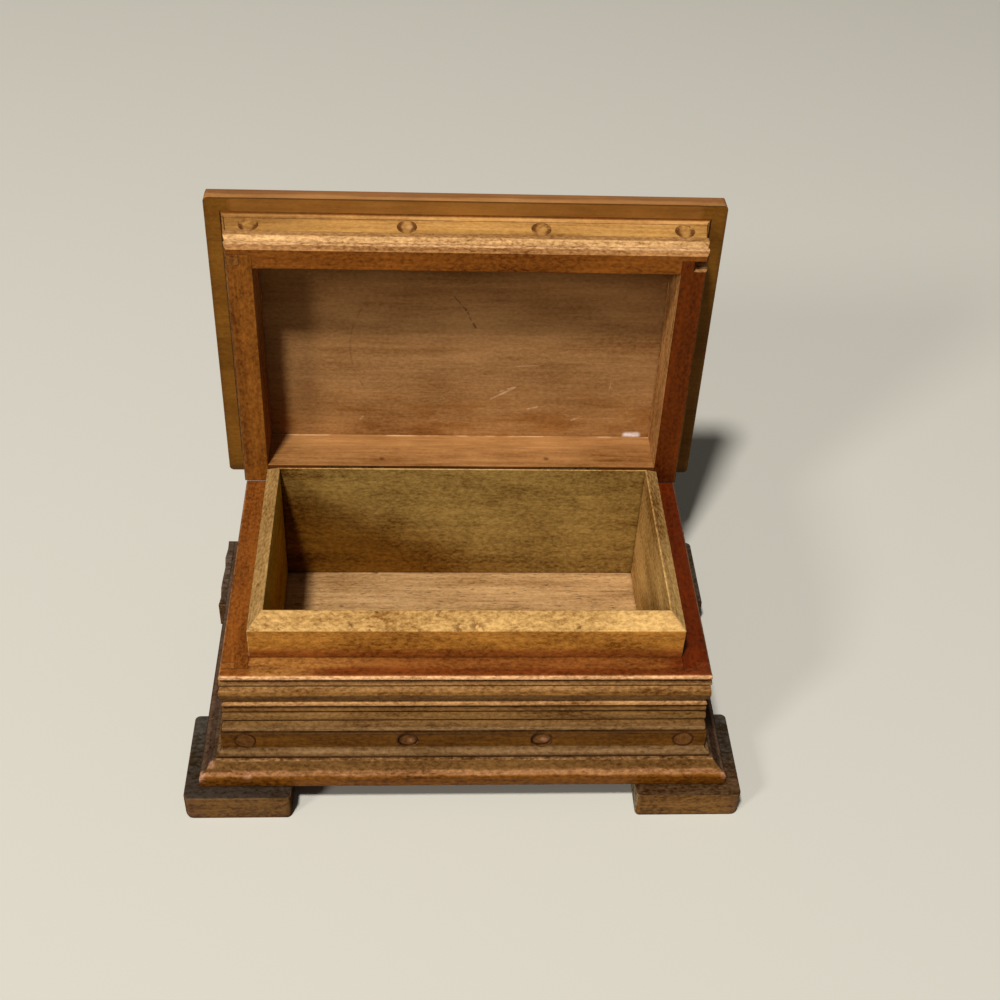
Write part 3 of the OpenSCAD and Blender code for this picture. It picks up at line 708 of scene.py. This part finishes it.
for lot, (board, grain, rim, inner) in enumerate(LID_FRAME):
    at_back = board == "back_board"
    wood("lid_" + board, BAND, grain, 20.7 + 0.9 * lot, True, arris=GOLD, rub=0.25, raised=0.06,
         zones=lid_zones(rim, inner, BACK_DENTS if at_back else ()), joint_face=rim_of_lid,
         calm=frieze_of_lid, dirt_and_shade=0.1 if at_back else 0.35, crevice_reach=0.9,
         mottle=0.2 if at_back else 0.85)
print("lid frame finished, rim of the shut lid at (mm):", round(lid_rim_z / MM, 2))

# %% [markdown]
# ## Plugs in the lid
#
# The plugs of the lid stand square to its leaning frieze. They are golden like it, with brown
# stains at their left and right, and the second has a pale heart. Both stains of a plug are
# one crescent, made with the distance from the middle line to either side.

# %% Plugs of the lid
def lid_plug_zones(f, tone):
    colour = f.plain(tone)
    for place, middle in enumerate(lid_plugs):
        if place == 1:
            colour = pale_heart(f, colour, middle, (0.45, 0.24, 0.1))
        across = f.vector("MULTIPLY", f.vector("SUBTRACT", f.here, tuple(middle)), (1, 1, 0))
        to_either_side = f.sum("ABSOLUTE", f.vector("DOT_PRODUCT", across, (1, 0, 0)))
        dark = crescent(f, across, to_either_side)
        colour = f.blend(f.part(dark, 0.95), colour, (0.08, 0.026, 0.006))
    return colour


wood("lid_plugs", (0.3, 0.14, 0.035), "y", 26.1, True, zones=lid_plug_zones, dirt_and_shade=0.1,
     crevice_reach=0.8, rub=0.0, mottle=0.3)
print("plugs finished in the lid:", len(lid_plugs))

# %% [markdown]
# ## Marks inside the lid
#
# The underside of the top board is the largest plain face of the box, so its small marks
# matter: a dark scratch, part of a faint ring as from a cup, pale bruises that run mostly
# with the grain, and a small painted highlight, where a glossy spot catches the light. They
# could be drawn in a picture, but a picture has a size at which it blurs. Here each is a mask,
# laid out on the open box: a stroke is the space within a given distance of a line, and the
# ring the space near a circle.

# %% Marks
# Each stroke: x and height of its two ends and its width, in mm
DARK_SCRATCH = (((-3.4, 101.9), (0.3, 97.2), 0.25), ((0.3, 97.2), (3.3, 91.1), 0.5),
                ((8.7, 102.9), (10.4, 102.9), 0.6))
PALE_BRUISES = (((8.5, 65.3), (15.7, 69.5), 0.45), ((11.5, 68.3), (16, 69.9), 0.4),
                ((20.4, 61.7), (23.2, 62.5), 0.45), ((34.1, 57.6), (36.3, 58.4), 0.4),
                ((44.8, 58.1), (47.3, 58.5), 0.3), ((45.1, 68.8), (45.4, 71.8), 0.25),
                ((16.2, 77.5), (22.3, 77.9), 0.3), ((-31.7, 57.3), (-30.7, 58.4), 0.35))
GLINT_STROKE = ((51.9, 51.9), (55.3, 51.9), 1.5)
CUP_MIDDLE, CUP_R = (-7.5, 83.5), 26.55 * MM


def on_inside(x, z):
    """A point of the leaning inner face of the open lid, from its x and height in mm."""
    return Vector((x, 49.06 + 0.0332 * (z - 45.42), z)) * MM


def strokes(f, colour, lines, pattern, share, mark):
    """The colour with a broken stroke of the mark's colour along each line."""
    for start, end, width in lines:
        broken = f.step(f.noise(500, 2, 0.5, pattern), 0.3, 0.55)
        stroke = f.both(f.stroke(on_inside(*start), on_inside(*end), width * MM), broken)
        colour = f.blend(f.part(stroke, share), colour, mark)
    return colour


def marked(f, colour):
    colour = strokes(f, colour, DARK_SCRATCH, 11, 0.75, (0.05, 0.018, 0.006))
    away = f.vector("DISTANCE", f.here, tuple(on_inside(*CUP_MIDDLE)))
    cup = f.both(f.band(away, CUP_R - 0.25 * MM, CUP_R + 0.25 * MM, 0.3 * MM),
                 f.step(f.x, -29.5 * MM, -31 * MM), f.step(f.noise(260, 2, 0.5, 12), 0.4, 0.6))
    colour = f.blend(f.part(cup, 0.45), colour, (0.12, 0.045, 0.013))
    colour = strokes(f, colour, PALE_BRUISES, 13, 0.45, (0.6, 0.36, 0.2))
    # A small painted highlight, where a glossy spot catches the light
    start, end, width = GLINT_STROKE
    glint = f.stroke(on_inside(*start), on_inside(*end), width * MM)
    return f.blend(f.part(glint, 0.8), colour, (0.9, 0.8, 0.76))


print("marks inside the lid:", len(DARK_SCRATCH) + len(PALE_BRUISES) + 2)

# %% [markdown]
# ## The top board of the lid
#
# Round the frame, the underside of the top board is olive brown, and darker at its outer
# edges, with a thin painted shadow along its front edge. Inside the frame it is a bare warm
# brown, with a painted shadow of the frame towards the front, and blotched near the hinges.
# Its moulded edge is gilt below and brown above. The zones are told by their place, as the
# whole underside is one flat face.

# %% Lid top board
EDGE_BROWN = (0.185, 0.07, 0.018)
EDGE_GILT = (0.28, 0.117, 0.031)
top_under_z = lid_rim_z + 15.7 * MM
shut_front_y = hinge_y + hinge_z - high("lid_top_board")[2]
shut_back_y = hinge_y + hinge_z - low("lid_top_board")[2]


def front_of_frame(f):
    return f.both(f.step(f.y, case_front_y + 2 * MM, case_front_y - MM),
                  f.step(f.off_middle, case_half_w + 0.5 * MM, case_half_w - 1.5 * MM))


def bare_wood_and_shadow(f):
    """Bare brown inside the frame, with a painted shadow towards the front, and blotched near the
    hinges.
    """
    near_hinge = f.step(f.y, 0, 25 * MM)
    blotch = f.step(f.noise((60, 170, 60), 4, 0.6, 8), 0.47, 0.62)
    # Darker towards the front: a painted shadow of the front of the frame
    bare = f.blend(f.step(f.y, -13 * MM, -25 * MM), (0.28, 0.133, 0.0455), (0.222, 0.098, 0.031))
    bare = f.blend(near_hinge, bare, (0.3, 0.137, 0.042))
    return f.blend(f.both(blotch, near_hinge), bare, (0.25, 0.1, 0.025))


def round_frame(f):
    """Olive brown round the frame, with dark outer edges and a thin painted shadow along the front
    edge.
    """
    olive = f.blend(f.step(f.y, case_front_y, 0), (0.2, 0.078, 0.014), (0.24, 0.072, 0.003))
    past_sides = f.step(f.off_middle, case_half_w - MM, case_half_w + MM)
    olive = f.blend(past_sides, olive, (0.142, 0.053, 0.0055))
    edges = f.step(f.off_middle, case_half_w + 5.5 * MM, case_half_w + 8.5 * MM)
    # A dark back edge, and a thin painted shadow along the front edge
    for outer in (f.step(f.y, shut_back_y - 4.5 * MM, shut_back_y - MM),
                  f.step(f.y, shut_front_y + 0.1 * MM, shut_front_y - 0.4 * MM)):
        edges = f.sum("MAXIMUM", edges, outer)
    return f.blend(f.part(edges, 0.75), olive, (0.055, 0.022, 0.006))


def top_zones(f, tone):
    worn_rise = f.ragged(f.z, 3 * MM, 60, 3, 0.6, 9)
    gilded = f.step(worn_rise, top_under_z + 2.6 * MM, top_under_z + 1.4 * MM)
    edge = f.blend(gilded, EDGE_BROWN, EDGE_GILT)
    colour = f.blend(f.step(f.face_z, 0.9, 0.97), edge, tone)
    below = f.blend(within_lid(f, 5 * MM, 0.4 * MM), round_frame(f), bare_wood_and_shadow(f))
    return marked(f, f.blend(rim_of_lid(f), colour, below))


wood("lid_top_board", (0.25, 0.115, 0.036), "x", 27.3, True, top_zones, streak=0.22, cloud=0.35,
     mottle=0.35, fleck=0.12, rings=0.15, arris=(0.5, 0.3, 0.14), rub=0.5, dirt_and_shade=0.4,
     crevice_reach=1.2, calm=front_of_frame, raised=0.06)
print("lid top finished, from front to back (mm):", round((shut_back_y - shut_front_y) / MM, 1))

# %% [markdown]
# ## Hinges
#
# The hinges lie between the two back boards. They are thin brass, browned with age: a metal,
# so its colour goes to the shader as a metal and its wear is in the roughness.

# %% Hinges
BRASS = (0.42, 0.27, 0.1)
BROWNED_BRASS = (0.13, 0.075, 0.03)


def aged_brass(piece, on_lid, lot):
    f = Finish(piece, on_lid, lot)
    spots = f.step(f.noise(700, 4, 0.65), 0.45, 0.65)
    bump = f.fill(f.node("ShaderNodeBump"), {"Strength": 0.4, "Distance": 0.05 * MM,
                                             "Height": f.noise(900, 3, 0.6, 2)})
    f.fill(f.shader, {"Base Color": f.blend(spots, BRASS, BROWNED_BRASS), "Metallic": 0.9,
                      "Roughness": f.stretch(f.noise(1500, 3, 0.6, 1), 0.3, 0.7, 0.32, 0.6),
                      "Normal": bump.outputs[0]})
    dress(piece, f.material)


hinge_pieces = [name for name in nodes if name.startswith("hinge_")]
for lot, piece in enumerate(hinge_pieces):
    aged_brass(piece, "lid" in piece, 31 + lot)
print("hinge pieces:", len(hinge_pieces))

# %% [markdown]
# ## The table top
#
# The box stands on a plain pale top, so large that its edges are never seen. It is matt and
# nearly without gloss, so that it gives a soft, even light back to the box.

# %% Table top
HALF_TOP = 3
PALE = (0.506, 0.478, 0.406)

floor_mesh = bpy.data.meshes.new("floor")
corners = [(x * HALF_TOP, y * HALF_TOP, 0) for x, y in ((-1, -1), (1, -1), (1, 1), (-1, 1))]
floor_mesh.from_pydata(corners, [], [(0, 1, 2, 3)])
floor = bpy.data.objects.new("floor", floor_mesh)
bpy.context.scene.collection.objects.link(floor)
pale_top = bpy.data.materials.new("pale_top")
pale_top.use_nodes = True
for name, value in (("Base Color", (*PALE, 1)), ("Roughness", 0.9), ("Specular IOR Level", 0.1)):
    pale_top.node_tree.nodes["Principled BSDF"].inputs[name].default_value = value
floor_mesh.materials.append(pale_top)
print("table top, width (m):", 2 * HALF_TOP)

# %% [markdown]
# ## The sky and the backdrop
#
# A weak, even sky lifts the dark sides of the box. Seen past the far edge of the table top, so
# weak a sky would be dark, and a stronger one would wash out the shadows. So the camera
# and the reflections see a pale backdrop in its place, which lights nothing: the Light Path
# node tells which kind of ray is asking.

# %% Sky and backdrop
BACKDROP = (0.5, 0.48, 0.42)
SKY_STRENGTH = 0.1

world = bpy.data.worlds.new("studio")
bpy.context.scene.world = world
world.use_nodes = True
sky = world.node_tree.nodes
sky["Background"].inputs["Color"].default_value = (1, 1, 1, 1)
sky["Background"].inputs["Strength"].default_value = SKY_STRENGTH
backdrop = sky.new("ShaderNodeBackground")
backdrop.inputs["Color"].default_value = (*BACKDROP, 1)
ray = sky.new("ShaderNodeLightPath")
seen_or_glossy = sky.new("ShaderNodeMath")
seen_or_glossy.operation = "MAXIMUM"
shows_backdrop = sky.new("ShaderNodeMath")
shows_backdrop.operation = "MAXIMUM"
chosen = sky.new("ShaderNodeMixShader")
for source, target in ((ray.outputs["Is Camera Ray"], seen_or_glossy.inputs[0]),
                       (ray.outputs["Is Glossy Ray"], seen_or_glossy.inputs[1]),
                       (seen_or_glossy.outputs[0], shows_backdrop.inputs[0]),
                       (ray.outputs["Is Transmission Ray"], shows_backdrop.inputs[1]),
                       (shows_backdrop.outputs[0], chosen.inputs[0]),
                       (sky["Background"].outputs[0], chosen.inputs[1]),
                       (backdrop.outputs[0], chosen.inputs[2]),
                       (chosen.outputs[0], sky["World Output"].inputs["Surface"])):
    world.node_tree.links.new(source, target)
print("sky strength:", SKY_STRENGTH)

# %% [markdown]
# ## The lamps
#
# One lamp stands high in front, nearly overhead, and throws the short shadow inside the lid. A
# second, lower on the left, gives the slanting shadow across the back of the liner. Both are
# discs, whose size decides how soft a shadow is. A lamp's power in watts says little about how
# bright a surface gets, so it is worked out here from the level wanted on the box.

# %% Lamps
LAMP_DISTANCE = 2.4
LAMP_TARGET = Vector((0, 0.01, 0.06))


def disc_lamp(name, toward, level, size):
    """A disc lamp under which a white surface that faces it comes out at that level."""
    light = bpy.data.objects.new(name, bpy.data.lights.new(name, "AREA"))
    light.data.shape = "DISK"
    light.data.size = size
    light.data.energy = level * math.pi ** 2 * LAMP_DISTANCE ** 2
    light.location = LAMP_TARGET + Vector(toward).normalized() * LAMP_DISTANCE
    light.rotation_euler = (LAMP_TARGET - light.location).to_track_quat("-Z", "Y").to_euler()
    bpy.context.scene.collection.objects.link(light)
    print(name, "power (W):", round(light.data.energy, 1))


disc_lamp("high_lamp", (-0.474, -1, 2.315), 1.2, 0.24)
disc_lamp("left_lamp", (-1.053, -1, 0.858), 0.41, 0.44)
bpy.context.scene.view_settings.view_transform = "Standard"

# %% [markdown]
# ## Close
